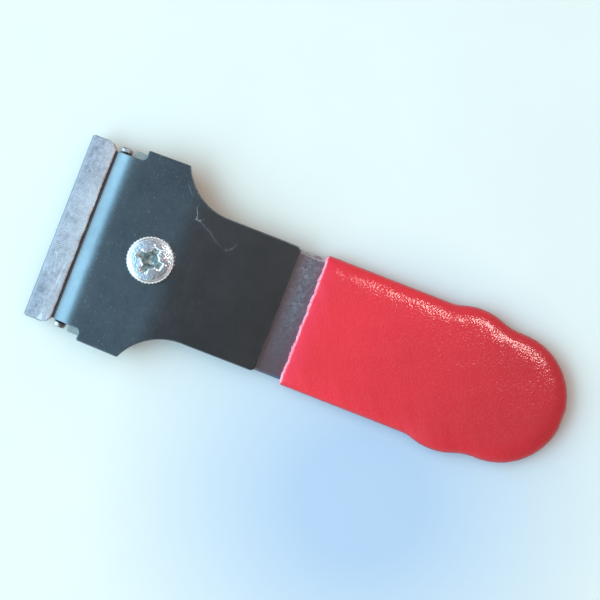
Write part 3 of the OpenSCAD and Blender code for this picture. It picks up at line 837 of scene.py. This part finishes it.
def cross(reach, half_w, middle_r):
    """Outline of a cross recess about the axis: in each quarter the end of an arm, its side, the round
    middle and the side of the next arm. The quarters are turned into place."""
    foot = np.sqrt(middle_r ** 2 - half_w ** 2)
    start = np.arctan2(half_w, foot)
    bend = np.linspace(start, np.pi / 2 - start, 37)[:-1]
    side_in, side_out = np.linspace(reach, foot, 13)[:-1], np.linspace(foot, reach, 13)[:-1]
    end_y = np.linspace(-half_w, half_w, 21)[:-1]
    x = np.concatenate([np.full(20, reach), side_in, middle_r * np.cos(bend), np.full(12, half_w)])
    y = np.concatenate([end_y, np.full(12, half_w), middle_r * np.sin(bend), side_out])
    turn = RECESS_TURN + np.repeat(np.arange(4) * np.pi / 2, len(x))
    x, y = np.tile(x, 4), np.tile(y, 4)
    return np.column_stack([x * np.cos(turn) - y * np.sin(turn), x * np.sin(turn) + y * np.cos(turn)])


def dome(points):
    """Height of the domed face in the head: it falls with the square of the distance from the axis."""
    return HEAD_H - DOME_RISE * (np.hypot(points[..., 0], points[..., 1]) / DOME_R) ** 2


def screw_rows():
    """Screw from the middle of its tip, up the thread, out under the head, up the knurl, over the face and
    down into the recess. A thread row's radius follows the helix phase of its height less its turn; a knurl
    row's follows the teeth; the face is ruled from a circle to the recess outline."""
    mouth, foot = cross(*RECESS_MOUTH), cross(*RECESS_FLOOR)
    turn = np.arctan2(mouth[:, 1], mouth[:, 0])
    way = np.column_stack([np.cos(turn), np.sin(turn)])
    teeth = HEAD_R - KNURL_DEPTH * np.abs(np.sin(KNURL_TEETH * turn / 2)) ** 0.8
    thread_z = np.arange(TIP_Z + 0.02, HEAD_Z - 0.3, THREAD_PITCH / 11)[:, None]
    phase = thread_z / THREAD_PITCH - turn / (2 * np.pi)
    crest = 0.5 + np.arcsin(0.96 * np.sin(2 * np.pi * phase)) / np.pi
    taper = np.clip((thread_z - TIP_Z) / TIP_TAPER, 0, 1)
    thread = np.minimum(THREAD_R - THREAD_DEPTH * (1 - crest), THREAD_R - TIP_TAPER * (1 - taper))
    tip = np.array([[0, TIP_Z], [1.6, TIP_Z], [1.85, TIP_Z + 0.005]])
    side = np.array(HEAD_PROFILE)
    side_r = np.minimum(side[:, :1], teeth)
    share = np.linspace(0, 1, 26)[1:]
    roll = np.linspace(0, np.pi / 2, 9)[:, None]
    rolled = mouth - (RECESS_ROLL * (1 - np.sin(roll)))[..., None] * inward(mouth)
    face = FACE_R * way + share[:, None, None] * (rolled[0] - FACE_R * way)
    rolled_z = dome(rolled[0]) - RECESS_ROLL * (1 - np.cos(roll))
    floor_z = HEAD_H - RECESS_DEPTH
    floor_dip = np.array([0.08, 0.12])
    drop = np.linspace(0, 1, 14)[1:, None, None]
    wall = mouth + drop * (foot - mouth)
    wall_z = rolled_z[-1] + drop[..., 0] * (floor_z - rolled_z[-1])

    def level(values):
        """One value for all of each row."""
        return np.broadcast_to(np.asarray(values)[:, None], (len(values), len(turn)))

    # Each stretch of rows as places about the axis, heights and how rubbed they are
    stretches = (
        (tip[:, :1, None] * way, level(tip[:, 1]), level(np.zeros(3))),
        (thread[..., None] * way, np.broadcast_to(thread_z, thread.shape), 0.4 * crest),
        (side_r[..., None] * way, level(HEAD_Z + side[:, 1]), level(side[:, 2])),
        (face, HEAD_Z + dome(face), level(np.zeros(25))),
        (rolled[1:], HEAD_Z + rolled_z[1:], level(np.ones(8))),
        (wall, HEAD_Z + wall_z, level(np.zeros(13))),
        (np.stack([foot * 0.5, foot * 0]), level(HEAD_Z + floor_z - floor_dip), level(np.zeros(2))))
    plan, z, worn = (np.concatenate(rows) for rows in zip(*stretches))
    return np.concatenate([plan + SCREW, z[..., None], worn[..., None]], axis=2)


def screw_zinc():
    """Bright zinc over turned steel: bluish and mauve clouds on a faintly wavy face, a few rings of the tool
    near the rim, white rubbed edges, and painted shade down in the recess, dark greenish and broken by
    paler patches that are painted reflections."""
    material, tree, shader, place = new_finish("screw_zinc", Metallic=1.0)
    reach, rings = lathe_marks(tree, place, 0.00042)
    level = axes(tree, place)[2]
    cloud = ramp(tree, noise(tree, place, 0.0009, 3.0, 0.65), 0.3, 0.7)
    fine = noise(tree, place, 0.0004, 2.0)
    # Painted shade down in the recess, deeper with depth; its paler patches are painted reflections
    sunk = ramp(tree, level, (HEAD_Z + HEAD_H - 0.95) * MM, (HEAD_Z + HEAD_H - 0.35) * MM, 0.75, 0)
    sunk = times(tree, sunk, ramp(tree, reach, 0.0027, 0.0028, 1, 0))
    patch = ramp(tree, noise(tree, place, 0.0007, 2.0), 0.44, 0.56)
    painted_shade = tint(tree, patch, (0.07, 0.13, 0.11), (0.58, 0.66, 0.64))
    colour = tint(tree, cloud, (0.70, 0.82, 0.92), (0.90, 0.83, 0.90))
    colour = tint(tree, edge_value(tree), colour, (0.96, 0.97, 0.98))
    colour = tint(tree, sunk, colour, painted_shade)
    tree.links.new(ramp(tree, sunk, 0, 1, 1, 0.4), shader.inputs["Metallic"])
    tooled = times(tree, rings, ramp(tree, reach, 0.0026, 0.0034, 0.03, 0.12))
    wavy = maths(tree, "MULTIPLY_ADD", cloud, 0.6, maths(tree, "MULTIPLY_ADD", fine, 0.2, tooled))
    height = times(tree, wavy, ramp(tree, reach, 0.0040, 0.0043, 1, 0.1))
    finish_with(tree, shader, colour, ramp(tree, fine, 0.3, 0.7, 0.18, 0.26), height, 0.000085, 0.8)
    return material


thumb_screw = lay_piece("knurled_thumb_screw", screw_zinc(), screw_rows())
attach(thumb_screw, "screw")
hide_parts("thumb_screw")


# Stage: a sheet of pale paper, seen from straight above with the tool lying aslant. A broad cool window
# stands low on the left; high on the right a small lamp gives glints and a broad warm one soft fill.
PAPER_REACH = 2
PAPER_Z = -0.0001
HORIZON = (0.93, 0.97, 0.98)
WINDOW_SIDE = (-0.93, -0.36, 0)
GLOW_WAY = (-0.714, -0.279, 0.643)
# Width of the view at the top of the handle plate
VIEW_WIDTH = 0.1182
VIEW_PLACE = (-0.00359, 0.00335, 0.36)
VIEW_TURN = 0.3718
SENSOR_WIDTH = 36


def paper():
    """Pale paper that takes shadows, faintly clouded, with a patch of painted bluish shade by the near side
    of the tool. Far off it shows as plain white, in reflections too, so that the sheet runs into the
    bright horizon."""
    material, tree, shader, place = new_finish("pale_paper", Roughness=0.9)
    fibre = ramp(tree, noise(tree, place, 0.03), 0.3, 0.7)
    # Painted bluish shade in a patch by the near side of the tool
    patch = ramp(tree, vectors(tree, "DISTANCE", place, (0.022, -0.029, 0)), 0.012, 0.055, 1, 0)
    colour = tint(tree, fibre, (0.87, 0.85, 0.805), (0.90, 0.88, 0.835))
    colour = tint(tree, patch, colour, (0.51, 0.61, 0.78))
    tree.links.new(colour, shader.inputs["Base Color"])
    ray = tree.nodes.new("ShaderNodeLightPath").outputs
    seen = maths(tree, "MAXIMUM", ray["Is Camera Ray"], ray["Is Glossy Ray"])
    fade = times(tree, seen, ramp(tree, vectors(tree, "LENGTH", place), 0.12, 0.70))
    white = add_node(tree, "ShaderNodeEmission", {"Color": (*HORIZON, 1)}).outputs[0]
    result = add_node(tree, "ShaderNodeMixShader", {0: fade, 1: shader.outputs[0], 2: white}).outputs[0]
    tree.links.new(result, tree.nodes["Material Output"].inputs["Surface"])
    return material


def soft_lamp(name, place, size, power, colour, aim=(0, 0, 0)):
    """Rectangular lamp at a place, turned to face a point."""
    lamp = bpy.data.lights.new(name, "AREA")
    lamp.shape = "RECTANGLE"
    lamp.size, lamp.size_y = size
    lamp.energy, lamp.color = power, colour
    holder = put(name, lamp)
    holder.location = place
    holder.rotation_euler = (Vector(aim) - Vector(place)).to_track_quat("-Z", "Y").to_euler()
    return holder


def room_light():
    """World light: a warm room, paler on the window's side, dim and brown overhead and white all round at
    the horizon, with a cool glow about the window."""
    world = bpy.data.worlds.new("room")
    world.use_nodes = True
    tree = world.node_tree
    way = tree.nodes.new("ShaderNodeTexCoord").outputs["Generated"]
    height = axes(tree, way)[2]
    left = ramp(tree, vectors(tree, "DOT_PRODUCT", way, WINDOW_SIDE), -0.4, 0.6)
    apart = maths(tree, "ARCCOSINE", vectors(tree, "DOT_PRODUCT", way, GLOW_WAY), clamp=False)
    glow = maths(tree, "POWER", ramp(tree, apart, np.radians(10), np.radians(58), 1, 0), 1.3)
    colour = tint(tree, left, (0.64, 0.50, 0.40), (0.76, 0.71, 0.63))
    colour = tint(tree, ramp(tree, height, 0.25, 0.85), colour, (0.18, 0.115, 0.08))
    colour = tint(tree, ramp(tree, height, 0.12, 0.22), HORIZON, colour)
    colour = tint(tree, glow, colour, (1.15, 2.10, 2.65))
    tree.links.new(colour, tree.nodes["Background"].inputs["Color"])
    bpy.context.scene.world = world


paper_ends = [(PAPER_REACH * x, PAPER_REACH * y, PAPER_Z) for x, y in ((-1, -1), (1, -1), (1, 1), (-1, 1))]
paper_mesh = bpy.data.meshes.new("paper_sheet")
paper_mesh.from_pydata(paper_ends, [], [(0, 1, 2, 3)])
paper_mesh.materials.append(paper())
paper_sheet = put("paper_sheet", paper_mesh)

soft_lamp("window", (-0.458, -0.179, 0.344), size=(1.1, 0.50), power=4.1, colour=(0.57, 0.89, 1.0))
small_lamp = soft_lamp("small_lamp", (0.10, 0.16, 0.42), size=(0.09, 0.09), power=0.50,
                       colour=(1.0, 0.97, 0.93), aim=(0.02, 0, 0))
small_lamp.visible_diffuse = False
broad_lamp = soft_lamp("broad_lamp", (0.12, 0.15, 0.50), size=(0.6, 0.6), power=0.75,
                       colour=(1.0, 0.91, 0.80))
broad_lamp.visible_glossy = False
room_light()

lens = bpy.data.cameras.new("overhead_camera")
lens.sensor_width = SENSOR_WIDTH
lens.lens = SENSOR_WIDTH * (VIEW_PLACE[2] - (PLATE_Z + PLATE_T) * MM) / VIEW_WIDTH
lens.clip_end = 10
camera = put("overhead_camera", lens)
camera.location = VIEW_PLACE
camera.rotation_euler = (0, 0, VIEW_TURN)
bpy.context.scene.camera = camera
bpy.context.scene.view_settings.view_transform = "Standard"
